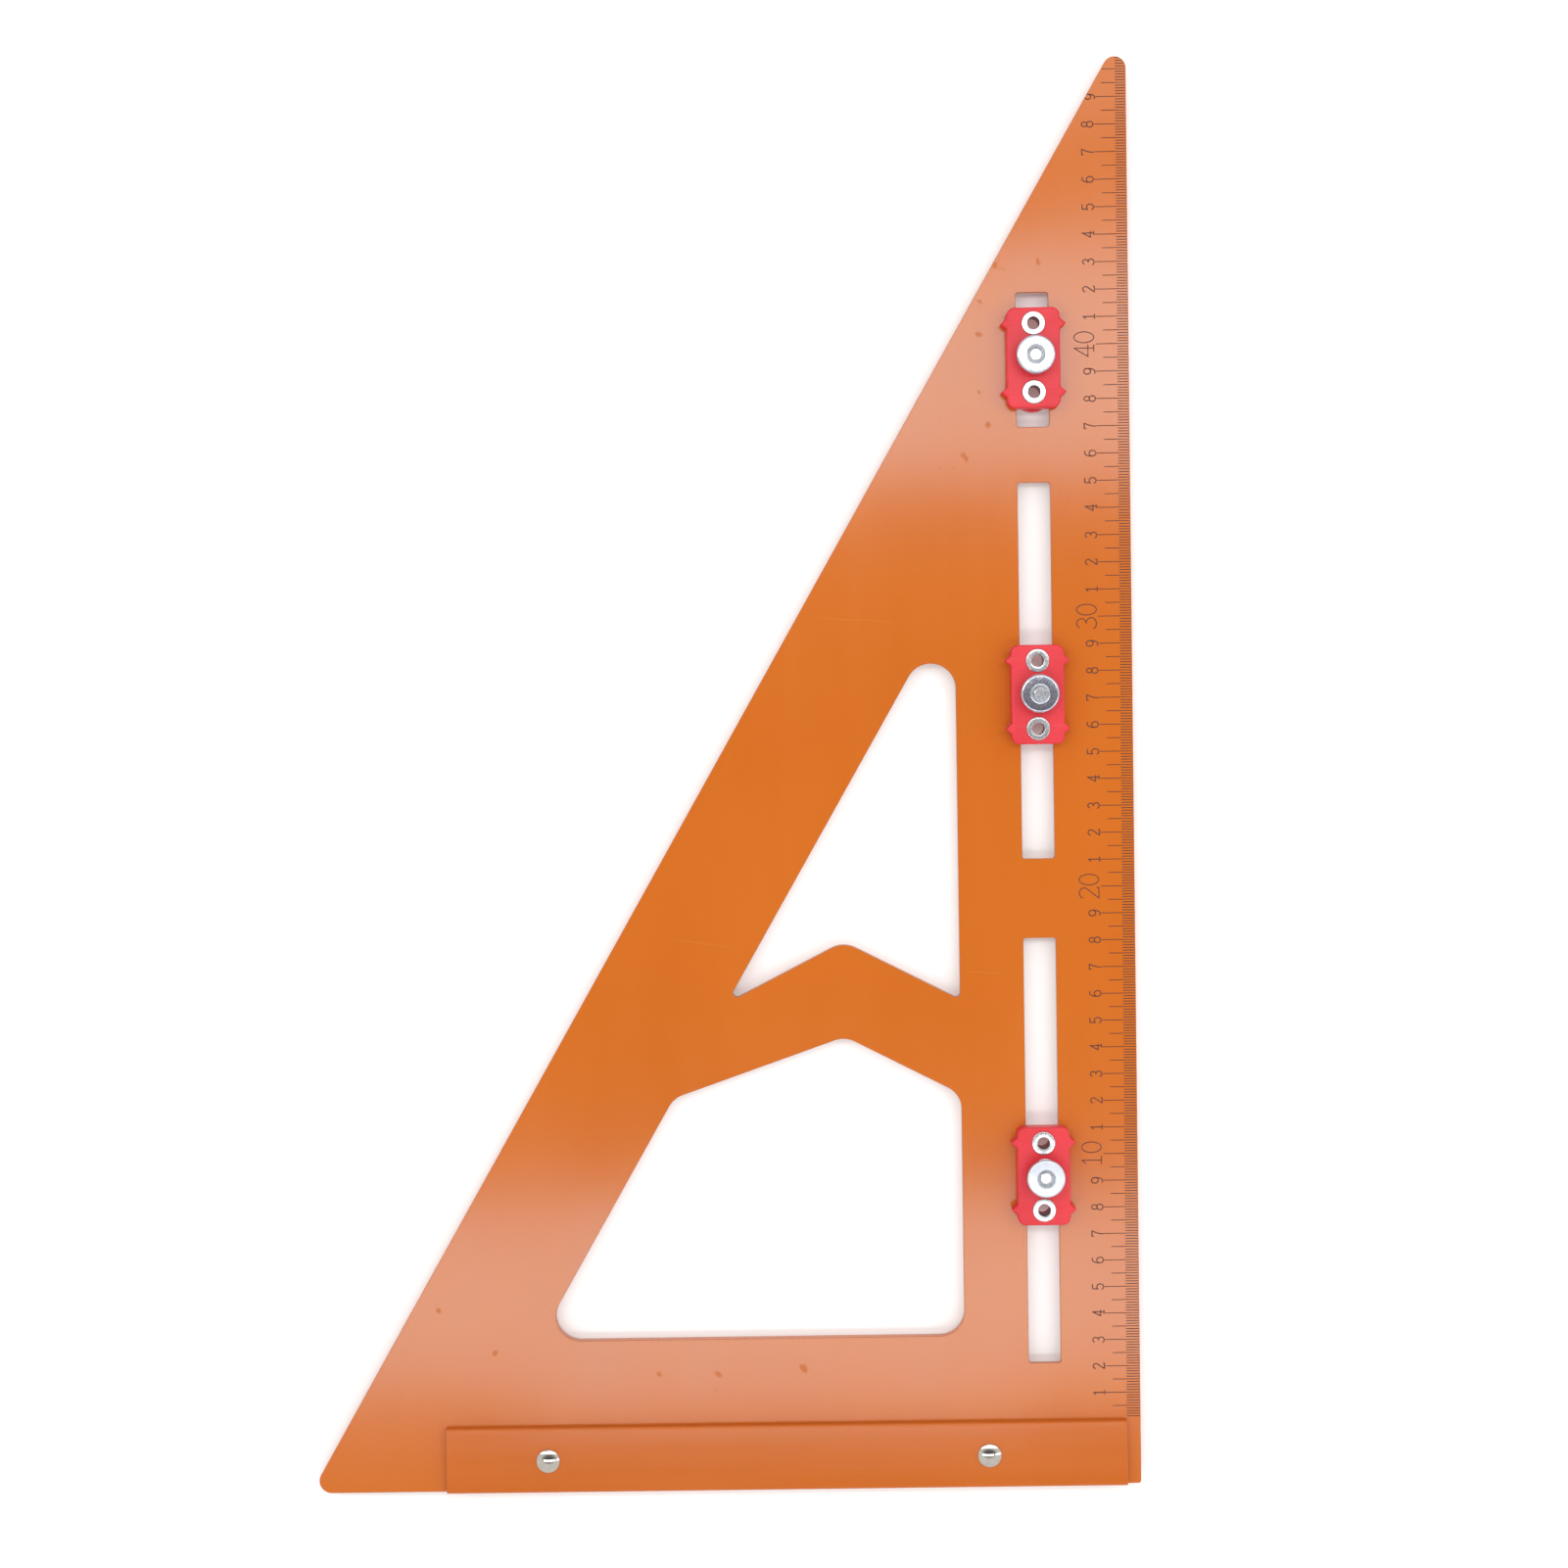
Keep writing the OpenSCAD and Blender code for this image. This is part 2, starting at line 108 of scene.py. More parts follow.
class Solid:
    """Closed mesh in mm, built from rings of vertices."""

    def __init__(self, x=0.0, y=0.0):
        self.v, self.f, self.m, self.at = [], [], [], (x, y)

    def ring(self, loop, z):
        i = len(self.v)
        self.v += [(x, y, z) for x, y in loop]
        return list(range(i, len(self.v)))

    def pole(self, z, x=0.0, y=0.0):
        self.v.append((x, y, z))
        return [len(self.v) - 1]

    def face(self, ids, m):
        self.f.append(tuple(ids))
        self.m.append(m)

    def wall(self, low, high, out=True, m=0):
        if len(low) == 1 or len(high) == 1:
            many = high if len(low) == 1 else low
            tip = (low if len(low) == 1 else high)[0]
            for i in range(len(many)):
                j = (i + 1) % len(many)
                t = (tip, many[j], many[i]) if len(low) == 1 else (many[i], many[j], tip)
                self.face(t if out else t[::-1], m)
            return
        for i in range(len(low)):
            j = (i + 1) % len(low)
            q = (low[i], low[j], high[j], high[i])
            self.face(q if out else q[::-1], m)

    def walls(self, rings, out=True, m=0):
        for a, b in zip(rings, rings[1:]):
            self.wall(a, b, out, m)

    def cap(self, rings, up=True, m=0):
        """Flat face inside the first ring and outside the others."""
        ids = [i for r in rings for i in r]
        edges, base = [], 0
        for r in rings:
            edges += [(base + i, base + (i + 1) % len(r)) for i in range(len(r))]
            base += len(r)
        pts = [Vector(self.v[i][:2]) for i in ids]
        vs, _, fs, ov, _, _ = delaunay_2d_cdt(pts, edges, [], 1, 1e-7)
        loops = [[self.v[i][:2] for i in r] for r in rings]
        for f in fs:
            c = sum((vs[i] for i in f), Vector((0, 0))) / len(f)
            if sum(inside(c, l) for l in loops) != 1:
                continue
            a, b, d = (vs[i] for i in f)
            ccw = (b - a).cross(d - a) > 0
            t = [ids[ov[i][0]] for i in f]
            self.face(t if ccw == up else t[::-1], m)

    def turned(self, profile, n=96, closed=False, x=0.0, y=0.0, m=0, bore=0):
        """Solid of revolution; profile runs anticlockwise in (r, z)."""
        rings = [self.pole(z, x, y) if r < 1e-6 else self.ring(circle(r, n, x, y), z) for r, z in profile]
        self.walls(rings, True, m)
        if closed:
            self.wall(rings[-1], rings[0], True, bore)
        return rings

    def make(self, name, mats, body, stands_for=(), sharp=40.0, weighted=True):
        ox, oy = self.at
        mesh = bpy.data.meshes.new(name)
        mesh.from_pydata([((x + ox + SX) / 1000, (y + oy + SY) / 1000, z / 1000) for x, y, z in self.v], [], self.f)
        for mat in mats:
            mesh.materials.append(mat)
        mesh.polygons.foreach_set("material_index", self.m)
        mesh.polygons.foreach_set("use_smooth", [True] * len(self.f))
        mesh.update()
        mesh.set_sharp_from_angle(angle=math.radians(sharp))
        obj = bpy.data.objects.new(name, mesh)
        bpy.context.scene.collection.objects.link(obj)
        if weighted:
            mod = obj.modifiers.new("face_weighted_normals", "WEIGHTED_NORMAL")
            mod.keep_sharp, mod.weight = True, 60
        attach(obj, body)
        if stands_for:
            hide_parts(*stands_for)
        return obj


def inside(p, loop):
    hit, n = False, len(loop)
    for i in range(n):
        (x0, y0), (x1, y1) = loop[i - 1], loop[i]
        if (y0 > p[1]) != (y1 > p[1]) and p[0] < (x1 - x0) * (p[1] - y0) / (y1 - y0) + x0:
            hit = not hit
    return hit


def union(polys):
    """(points, triangles) of the area that overlapping polygons cover together."""
    pts, faces = [], []
    for p in polys:
        faces.append(list(range(len(pts), len(pts) + len(p))))
        pts += [Vector(q) for q in p]
    vs, _, fs, _, _, of = delaunay_2d_cdt(pts, [], faces, 0, 1e-6)
    return vs, [f for f, o in zip(fs, of) if o]


def rim(tris):
    """Boundary loops of a triangle set, each anticlockwise round its area."""
    seen = {}
    for t in tris:
        for i in range(len(t)):
            seen[(t[i], t[(i + 1) % len(t)])] = True
    nxt = {a: b for a, b in seen if (b, a) not in seen}
    loops = []
    while nxt:
        a = next(iter(nxt))
        loop = []
        while a in nxt:
            loop.append(a)
            a = nxt.pop(a)
        loops.append(loop)
    return loops


def ribbon(line, w, segs=4):
    """Outline of a stroke of width w with round ends."""
    p = [Vector(q) for q in line]
    left, right = [], []
    for i, q in enumerate(p):
        d0 = (q - p[i - 1]).normalized() if i else None
        d1 = (p[i + 1] - q).normalized() if i < len(p) - 1 else None
        d0, d1 = d0 or d1, d1 or d0
        n0, n1 = Vector((-d0.y, d0.x)), Vector((-d1.y, d1.x))
        m = (n0 + n1) / max(0.35, 1 + n0.dot(n1)) * (w / 2)
        left.append(q + m)
        right.append(q - m)

    def end(c, start, turn):
        return [c + Matrix.Rotation(turn * k / segs, 2) @ (start - c) for k in range(1, segs)]

    out = right + end(p[-1], right[-1], math.pi) + left[::-1] + end(p[0], left[0], math.pi)
    return [tuple(q) for q in out]


# ---------------------------------------------------------------- material tools
class Shader:
    def __init__(self, name):
        self.mat = bpy.data.materials.new(name)
        self.mat.use_nodes = True
        self.t = self.mat.node_tree
        self.t.nodes.clear()
        self.b = self.t.nodes.new("ShaderNodeBsdfPrincipled")
        o = self.t.nodes.new("ShaderNodeOutputMaterial")
        self.t.links.new(self.b.outputs[0], o.inputs[0])
        self.coord = self.t.nodes.new("ShaderNodeTexCoord").outputs["Object"]

    def put(self, sock, value):
        if isinstance(value, bpy.types.NodeSocket):
            self.t.links.new(value, sock)
        else:
            sock.default_value = value

    def set(self, **kw):
        for k, v in kw.items():
            self.put(self.b.inputs[k.replace("_", " ")], v)

    def node(self, kind, props=None, out=0, **kw):
        n = self.t.nodes.new(kind)
        for k, v in (props or {}).items():
            setattr(n, k, v)
        for k, v in kw.items():
            self.put(n.inputs[int(k[1:])] if k[0] == "i" and k[1:].isdigit() else n.inputs[k.replace("_", " ")], v)
        return n.outputs[out]

    def scaled(self, x, y, z, rot=0.0, move=(0, 0, 0)):
        return self.node("ShaderNodeMapping", Vector=self.coord, Scale=(x, y, z), Rotation=(0, 0, rot), Location=move)

    def noise(self, scale, detail=3.0, rough=0.5, distort=0.0, vec=None, out=0):
        return self.node("ShaderNodeTexNoise", out=out, Vector=vec or self.coord, Scale=scale, Detail=detail, Roughness=rough, Distortion=distort)

    def math(self, op, a, b=0.0, c=0.0, clamp=False):
        return self.node("ShaderNodeMath", {"operation": op, "use_clamp": clamp}, i0=a, i1=b, i2=c)

    def span(self, v, a, b, lo, hi, smooth=False):
        return self.node("ShaderNodeMapRange", {"interpolation_type": "SMOOTHSTEP" if smooth else "LINEAR"}, i0=v, i1=a, i2=b, i3=lo, i4=hi)

    def ramp(self, v, stops):
        n = self.t.nodes.new("ShaderNodeValToRGB")
        self.put(n.inputs[0], v)
        e = n.color_ramp.elements
        e[0].position, e[0].color = stops[0][0], (*stops[0][1], 1)
        e[1].position, e[1].color = stops[-1][0], (*stops[-1][1], 1)
        for pos, col in stops[1:-1]:
            e.new(pos).color = (*col, 1)
        return n.outputs[0]

    def mix(self, f, a, b, blend="MIX"):
        n = self.t.nodes.new("ShaderNodeMix")
        n.data_type, n.blend_type = "RGBA", blend
        self.put(n.inputs[0], f)
        self.put(n.inputs[6], a if isinstance(a, bpy.types.NodeSocket) else (*a, 1))
        self.put(n.inputs[7], b if isinstance(b, bpy.types.NodeSocket) else (*b, 1))
        return n.outputs[2]

    def bump(self, height, strength, distance):
        self.put(self.b.inputs["Normal"], self.node("ShaderNodeBump", Strength=strength, Distance=distance, Height=height))

    def spots(self, points, wobble):
        """Mask of small blotches at (x mm, y mm, radius mm) on the plate."""
        n = self.noise(420, 2.0, out=1)
        off = self.node("ShaderNodeVectorMath", {"operation": "SUBTRACT"}, i0=n, i1=(0.5, 0.5, 0.5))
        off = self.node("ShaderNodeVectorMath", {"operation": "SCALE"}, i0=off, Scale=wobble)
        vec = self.node("ShaderNodeVectorMath", {"operation": "ADD"}, i0=self.coord, i1=off)
        total = None
        for x, y, r in points:
            d = self.node("ShaderNodeVectorMath", {"operation": "DISTANCE"}, out=1, i0=vec, i1=((x + SX) / 1000, (y + SY) / 1000, PLATE_TOP / 1000))
            k = self.span(d, r * 0.4 / 1000, r * 1.1 / 1000, 1.0, 0.0, True)
            total = k if total is None else self.math("MAXIMUM", total, k)
        return total

    def hairlines(self, lines, w):
        """Mask of fine scratches from (x0, y0) to (x1, y1) mm on the plate."""
        bend = self.span(self.noise(45, 2.0), 0.0, 1.0, -0.0012, 0.0012)
        total = None
        for x0, y0, x1, y1 in lines:
            d = Vector((x1 - x0, y1 - y0)) / 1000
            l = d.length
            d /= l
            rel = self.node("ShaderNodeVectorMath", {"operation": "SUBTRACT"}, i0=self.coord, i1=((x0 + SX) / 1000, (y0 + SY) / 1000, PLATE_TOP / 1000))
            t = self.node("ShaderNodeVectorMath", {"operation": "DOT_PRODUCT"}, out=1, i0=rel, i1=(d.x, d.y, 0))
            o = self.node("ShaderNodeVectorMath", {"operation": "DOT_PRODUCT"}, out=1, i0=rel, i1=(-d.y, d.x, 0))
            k = self.span(self.math("ABSOLUTE", self.math("ADD", o, bend)), w / 3000, w / 1000, 1.0, 0.0)
            k = self.math("MULTIPLY", k, self.math("MULTIPLY", self.span(t, 0.0, l * 0.2, 0.0, 1.0), self.span(t, l * 0.6, l, 1.0, 0.0)))
            total = k if total is None else self.math("MAXIMUM", total, k)
        return total


# ---------------------------------------------------------------- materials
def orange(name, light, dark, rough, along, stains=(), scratches=(), mirror=0.5):
    s = Shader(name)
    s.set(Specular_IOR_Level=mirror)
    broad = s.noise(11, 3.0)
    grain = s.noise(1900, 2.0, 0.6)
    streak = s.noise(1.0, 4.0, 0.6, vec=s.scaled(*along))
    tone = s.math("ADD", s.math("MULTIPLY", broad, 0.45), s.math("ADD", s.math("MULTIPLY", grain, 0.25), s.math("MULTIPLY", streak, 0.30)))
    col = s.ramp(tone, [(0.36, dark), (0.64, light)])
    r = s.math("ADD", s.span(grain, 0.3, 0.7, rough - 0.03, rough + 0.03), s.span(streak, 0.3, 0.7, -0.015, 0.015))
    if stains:
        k = s.spots(stains, 0.0026)
        col = s.mix(s.math("MULTIPLY", k, 0.6), col, [c * f for c, f in zip(dark, (0.80, 0.80, 0.7))])
        r = s.math("ADD", r, s.math("MULTIPLY", k, 0.10))
        s.set(Specular_IOR_Level=s.math("SUBTRACT", mirror, s.math("MULTIPLY", k, 0.20)))
    if scratches:
        k = s.hairlines(scratches, 0.3)
        col = s.mix(s.math("MULTIPLY", k, 0.35), col, [min(c * f, 1.0) for c, f in zip(light, (1.12, 1.5, 3.0))])
    s.set(Base_Color=col, Roughness=r, Metallic=0.0, IOR=1.534, Specular_Tint=(0.42, 0.9, 1.0, 1))
    s.bump(grain, 0.03, 0.00003)
    return s.mat


STAINS = [
    (-55.2, 404.2, 1.5), (-55.2, 383.2, 0.9), (-51.8, 370.9, 1.5), (-61.4, 360.2, 1.2), (-60.2, 358.8, 1.2), (-69.9, 355.4, 1.0), (-65.2, 355.0, 0.7),
    (-33.0, 430.2, 1.4), (-48.6, 429.6, 1.4), (-45.9, 428.2, 0.8), (-54.6, 416.2, 1.0), (-157.9, 18.9, 1.6), (-159.2, 12.6, 0.8),
    (-125.9, 20.9, 1.6), (-124.9, 19.4, 1.3), (-179.7, 19.0, 1.1), (-262.3, 44.2, 1.25), (-241.5, 28.0, 1.3),
]
SCRATCHES = [(-118, 301.8, -84, 298.2), (-174, 182.7, -145, 178.6), (-65, 169.0, -45, 167.6)]
PLATE = orange("orange_anodised", (0.593, 0.1445, 0.0135), (0.552, 0.130, 0.011), 0.136, (60, 8, 60), STAINS, SCRATCHES)
# Plate walls and edge rounds: a darker, rougher copy of the plate orange; the darker colour is painted shade on the
# walls.
PLATE_WALL_SHADE = orange("orange_wall_painted_shade", (0.50, 0.120, 0.018), (0.435, 0.098, 0.013), 0.26, (8, 8, 300))
FENCE = orange("fence_anodised", (0.560, 0.127, 0.010), (0.514, 0.114, 0.008), 0.136, (8, 160, 160), mirror=0.42)


def plastic():
    s = Shader("red_plastic")
    broad = s.noise(60, 3.0)
    fine = s.noise(1500, 3.0, 0.6)
    col = s.ramp(s.math("ADD", s.math("MULTIPLY", broad, 0.6), s.math("MULTIPLY", fine, 0.4)), [(0.35, (0.610, 0.018, 0.030)), (0.65, (0.740, 0.033, 0.051))])
    s.set(Base_Color=col, Roughness=s.span(fine, 0.3, 0.7, 0.34, 0.46), IOR=1.45, Subsurface_Weight=0.05, Subsurface_Scale=0.001)
    s.b.inputs["Subsurface Radius"].default_value = (1.0, 0.2, 0.15)
    s.bump(fine, 0.18, 0.00008)
    return s.mat


def metal(name, stops, lo, hi, scale, bump, tint_scale=400):
    s = Shader(name)
    fine = s.noise(scale, 4.0, 0.7)
    broad = s.noise(tint_scale, 3.0)
    col = s.ramp(s.math("ADD", s.math("MULTIPLY", fine, 0.5), s.math("MULTIPLY", broad, 0.5)), stops)
    s.set(Base_Color=col, Metallic=1.0, Roughness=s.span(fine, 0.3, 0.7, lo, hi))
    s.bump(fine, bump, 0.00005)
    return s.mat


RED = plastic()
ZINC = metal("zinc_steel", [(0.36, (0.34, 0.35, 0.47)), (0.46, (0.52, 0.55, 0.60)), (0.54, (0.54, 0.49, 0.62)), (0.64, (0.68, 0.72, 0.76))], 0.13, 0.24, 2600, 0.20)
# A lighter, rougher copy of the zinc, used on the lower nut only: painted light on that nut.
ZINC_PAINTED_LIGHT = metal("zinc_lower_painted_light", [(0.36, (0.57, 0.60, 0.68)), (0.50, (0.63, 0.66, 0.74)), (0.64, (0.70, 0.73, 0.79))], 0.30, 0.38, 2600, 0.08)
WORN = metal("zinc_worn", [(0.36, (0.46, 0.49, 0.53)), (0.50, (0.58, 0.61, 0.65)), (0.64, (0.68, 0.70, 0.73))], 0.24, 0.36, 2200, 0.20)
STEEL = metal("bush_steel", [(0.38, (0.60, 0.60, 0.62)), (0.62, (0.72, 0.72, 0.74))], 0.19, 0.30, 1800, 0.10)
# Bore wall of the bushes: a dark, red-tinted copy of the steel, painted shade and a painted reflection of the red
# moulding.
BORE_PAINTED_SHADE = metal("bush_bore", [(0.38, (0.20, 0.15, 0.155)), (0.62, (0.30, 0.235, 0.24))], 0.34, 0.50, 1800, 0.15)
NICKEL = metal("nickel", [(0.38, (0.535, 0.50, 0.45)), (0.62, (0.60, 0.565, 0.515))], 0.05, 0.09, 500, 0.02)


def ink():
    s = Shader("mark_ink")
    n = s.noise(2500, 3.0, 0.6)
    s.set(Base_Color=s.ramp(n, [(0.35, (0.088, 0.033, 0.024)), (0.65, (0.122, 0.046, 0.033))]), Roughness=s.span(n, 0.3, 0.7, 0.5, 0.65), IOR=1.27)
    return s.mat


INK = ink()


# ---------------------------------------------------------------- plate
def slope_y(x, d):
    return TIP_Y - 2 * d + x / TAN30


def slope_x(y, d):
    return (y - TIP_Y + 2 * d) * TAN30


def make_plate():
    s = Solid()
    z0, z1, b = PLATE_Z, PLATE_TOP, 0.22
    er = edge_round(b, 3)
    both = [(i, z0 + b - h) for i, h in er[::-1]] + [(i, z1 - b + h) for i, h in er]
    outer = rounded([(0, TIP_Y), (TOE_X, -FENCE_W), (0, -FENCE_W)], [TIP_R, TOE_R, HEEL_R], 4)
    e, rise, cx, post, band = 158.5, 22.2, -108.4, -65.3, 47.0
    upper = rounded([(post, slope_y(post, band)), (slope_x(e, band), e), (cx, e + rise), (post, e)], [9.3, 1.5, 10.0, 1.5], 4)
    e, sill = 123.0, 32.1
    lower = rounded([(cx, e + rise), (slope_x(e, band), e), (slope_x(sill, band), sill), (post, sill), (post, e)], [9.3] * 5, 4)
    rings = [s.ring(grown(outer, -i), z) for i, z in both]
    # material 1 on every wall and edge round is the darker copy with painted shade
    s.walls(rings, True, 1)
    low, top = [rings[0]], [rings[-1]]
    for loop in (upper, lower):
        rings = [s.ring(grown(loop, i), z) for i, z in both]
        s.walls(rings, False, 1)
        low.append(rings[0])
        top.append(rings[-1])
    for y0, y1 in ((370, 419.2), (210.6, 349.6), (21.5, 181)):
        slot = block(SLOT_X - 6, SLOT_X + 6, y0, y1, 1.0, 10)
        step = block(SLOT_X - 9.3, SLOT_X + 9.3, y0 - 2, y1 + 2, 2.0, 10)
        under = [s.ring(grown(step, i), z) for i, z in both[:4]] + [s.ring(step, z0 + 2)]
        s.walls(under, False, 1)
        through = [s.ring(slot, z0 + 2)] + [s.ring(grown(slot, i), z) for i, z in both[4:]]
        s.walls(through, False, 1)
        s.cap([under[-1], through[0]], False, 1)
        low.append(under[0])
        top.append(through[-1])
    for x in (-56.8, -222):
        hole = circle(2.52, 40, x, -FENCE_W / 2)
        rings = [s.ring(hole, z0), s.ring(hole, z1)]
        s.walls(rings, False, 1)
        low.append(rings[0])
        top.append(rings[-1])
    s.cap(low, False, 0)
    s.cap(top, True, 0)
    return s.make("square_plate", [PLATE, PLATE_WALL_SHADE], "square", ["plate"])


# ---------------------------------------------------------------- scale
def arc(cx, cy, rx, ry, a0, a1, n=12):
    return [(cx + rx * math.cos(math.radians(a0 + (a1 - a0) * k / n)), cy + ry * math.sin(math.radians(a0 + (a1 - a0) * k / n))) for k in range(n + 1)]


W = 0.54
SIX = [arc(0.27, 0.30, 0.25, 0.30, 80, 285), arc(0.27, 0.30, 0.25, 0.30, 270, 450), arc(0.33, 0.40, 0.31, 0.60, 66, 184)]
STROKES = {
    "0": [arc(0.27, 0.5, 0.24, 0.5, 85, 275, 18), arc(0.27, 0.5, 0.24, 0.5, 265, 455, 18)],
    "1": [[(0.10, 0.80), (0.20, 0.88), (0.28, 1.0)], [(0.28, 1.0), (0.28, 0.0)], [(0.10, 0.0), (0.46, 0.0)]],
    "2": [arc(0.27, 0.75, 0.23, 0.25, 165, -22, 14) + [(0.03, 0.0)], [(0.03, 0.0), (0.51, 0.0), (0.51, 0.10)]],
    "3": [arc(0.26, 0.76, 0.21, 0.24, 155, -90, 14), arc(0.25, 0.26, 0.26, 0.26, 90, -155, 14)],
    "4": [[(0.39, 0.0), (0.39, 1.0), (0.02, 0.30), (0.53, 0.30)], [(0.25, 0.0), (0.52, 0.0)]],
    "5": [[(0.47, 1.0), (0.09, 1.0), (0.06, 0.53)] + arc(0.26, 0.31, 0.25, 0.31, 128, -150, 16)],
    "6": SIX,
    "7": [[(0.04, 0.86), (0.04, 1.0), (0.51, 1.0)] + [(0.36, 0.66), (0.27, 0.36), (0.23, 0.0)]],
    "8": [arc(0.27, 0.76, 0.20, 0.24, 85, 275, 14), arc(0.27, 0.76, 0.20, 0.24, 265, 455, 14), arc(0.27, 0.27, 0.25, 0.27, 85, 275, 14), arc(0.27, 0.27, 0.25, 0.27, 265, 455, 14)],
    "9": [[(W - u, 1 - v) for u, v in line] for line in SIX],
}
MARK_LOW, MARK_TOP = PLATE_TOP - 0.06, PLATE_TOP + 0.012


def raised(s, vs, tris, low=MARK_LOW, top=MARK_TOP):
    a = s.ring([tuple(v) for v in vs], low)
    b = s.ring([tuple(v) for v in vs], top)
    for t in tris:
        ccw = (vs[t[1]] - vs[t[0]]).cross(vs[t[2]] - vs[t[0]]) > 0
        t = t if ccw else t[::-1]
        s.face([b[i] for i in t], 0)
        s.face([a[i] for i in t[::-1]], 0)
    for loop in rim([t if (vs[t[1]] - vs[t[0]]).cross(vs[t[2]] - vs[t[0]]) > 0 else t[::-1] for t in tris]):
        for i in range(len(loop)):
            j = (i + 1) % len(loop)
            s.face((a[loop[i]], a[loop[j]], b[loop[j]], b[loop[i]]), 0)


def drop_loose(s):
    used = sorted({i for f in s.f for i in f})
    new = {old: k for k, old in enumerate(used)}
    s.v = [s.v[i] for i in used]
    s.f = [tuple(new[i] for i in f) for f in s.f]


def pieces_of(line):
    """A stroke cut at its sharp corners."""
    out, cur = [], [line[0]]
    for i in range(1, len(line)):
        cur.append(line[i])
        if i < len(line) - 1:
            a, b = Vector(line[i]) - Vector(line[i - 1]), Vector(line[i + 1]) - Vector(line[i])
            if a.angle(b) > math.radians(50):
                out.append(cur)
                cur = [line[i]]
    return out + [cur]


def on_plate(loop, d=0.15):
    """The part of an outline that lies inside the plate's sloping edge."""
    out = []
    for a, b in zip([loop[-1]] + loop, loop):
        ka, kb = a[0] - slope_x(a[1], d), b[0] - slope_x(b[1], d)
        if (ka >= 0) != (kb >= 0):
            k = ka / (ka - kb)
            out.append((a[0] + (b[0] - a[0]) * k, a[1] + (b[1] - a[1]) * k))
        if kb >= 0:
            out.append(b)
    return out


def make_scale():
    skew = 0.0023
    s = Solid()
    for mm in range(1, 505):
        l = 13.0 if mm % 10 == 0 else 10.35 if mm % 5 == 0 else 5.15
        l = min(l - skew * mm, -slope_x(mm, 0.4)) - (0.7 if mm == 490 else 0.0)
        w = 0.34 if mm % 5 else 0.30
        x1 = -0.26
        if mm > 500:
            x1 = -TIP_R + math.sqrt(TIP_R**2 - (mm - (TIP_Y - TIP_R / math.tan(math.radians(15)))) ** 2) - 0.3
        loop = [(-l, mm - w / 2), (x1, mm - w / 2), (x1, mm + w / 2), (-l, mm + w / 2)]
        r = [s.ring(loop, MARK_LOW), s.ring(loop, MARK_TOP)]
        s.walls(r)
        s.face(r[0][::-1], 0)
        s.face(r[1], 0)
    s.make("scale_marks", [INK], "square", weighted=False)
    s = Solid()
    for cm in range(1, 50):
        big = cm % 10 == 0
        text = str(cm) if big else str(cm % 10)
        h = 7.3 if big else 4.2
        base = (13.75 if big else 13.35) - skew * cm * 10
        if cm == 49:
            # the last figure is smaller, to fit beside the sloping edge
            base, h = base - 0.75, 3.6
        wide = h * (0.61 if big else W)
        gap = 0.5 if big else 0.0
        total = len(text) * wide + (len(text) - 1) * gap
        for k, ch in enumerate(text):
            u0 = -total / 2 + k * (wide + gap)
            polys = []
            for line in STROKES[ch]:
                pts = [(-(base + v * h), cm * 10 + u0 + u / W * wide) for u, v in line]
                polys += [on_plate(ribbon(q, 0.36 if big else 0.42)) for q in pieces_of(pts)]
            raised(s, *union([q for q in polys if len(q) > 2]))
    drop_loose(s)
    s.make("scale_numbers", [INK], "square", weighted=False)


# ---------------------------------------------------------------- fence
FX0, FX1 = -260.4, -5.2
RIVETS = {"near": -56.8, "far": -222.0}


def bar_ring(s, i, z, ends):
    return s.ring(block(FX0 + ends, FX1 - ends, -FENCE_W + i, -i, max(0.3 - ends, 0.06), 30), z)


def make_bars():
    foot, head = edge_round(0.3, 3), edge_round(1.1, 6)
    s = Solid()
    z0, z1 = PLATE_TOP, PLATE_TOP + BAR_T
    rings = [bar_ring(s, i, z0 + 0.3 - h, i) for i, h in foot[::-1]] + [bar_ring(s, i, z1 - 1.1 + h, i * 0.4) for i, h in head]
    s.walls(rings)
    low, top = [rings[0]], [rings[-1]]
    for x in RIVETS.values():
        hole = circle(2.52, 40, x, -FENCE_W / 2)
        r = [s.ring(hole, z0), s.ring(hole, z1)]
        s.walls(r, False)
        low.append(r[0])
        top.append(r[1])
    s.cap(low, False)
    s.cap(top, True)
    s.make("top_fence_bar", [FENCE], "square", ["fence_top_bar"])
    s = Solid()
    z0, z1 = 0.0, BAR_T
    rings = [bar_ring(s, i, z0 + 1.1 - h, i * 0.4) for i, h in head[::-1]] + [bar_ring(s, i, z1 - 0.3 + h, i) for i, h in foot]
    s.walls(rings)
    low, top = [rings[0]], [rings[-1]]
    for x in RIVETS.values():
        c = lambda r, x=x: circle(r, 48, x, -FENCE_W / 2)
        r = [s.ring(c(4.06), z0), s.ring(c(4.03), z0 + 0.03), s.ring(c(2.52), z0 + 1.54), s.ring(c(2.52), z1)]
        s.walls(r, False)
        low.append(r[0])
        top.append(r[-1])
    s.cap(low, False)
    s.cap(top, True)
    s.make("bottom_fence_bar", [FENCE], "square", ["fence_bottom_bar"])


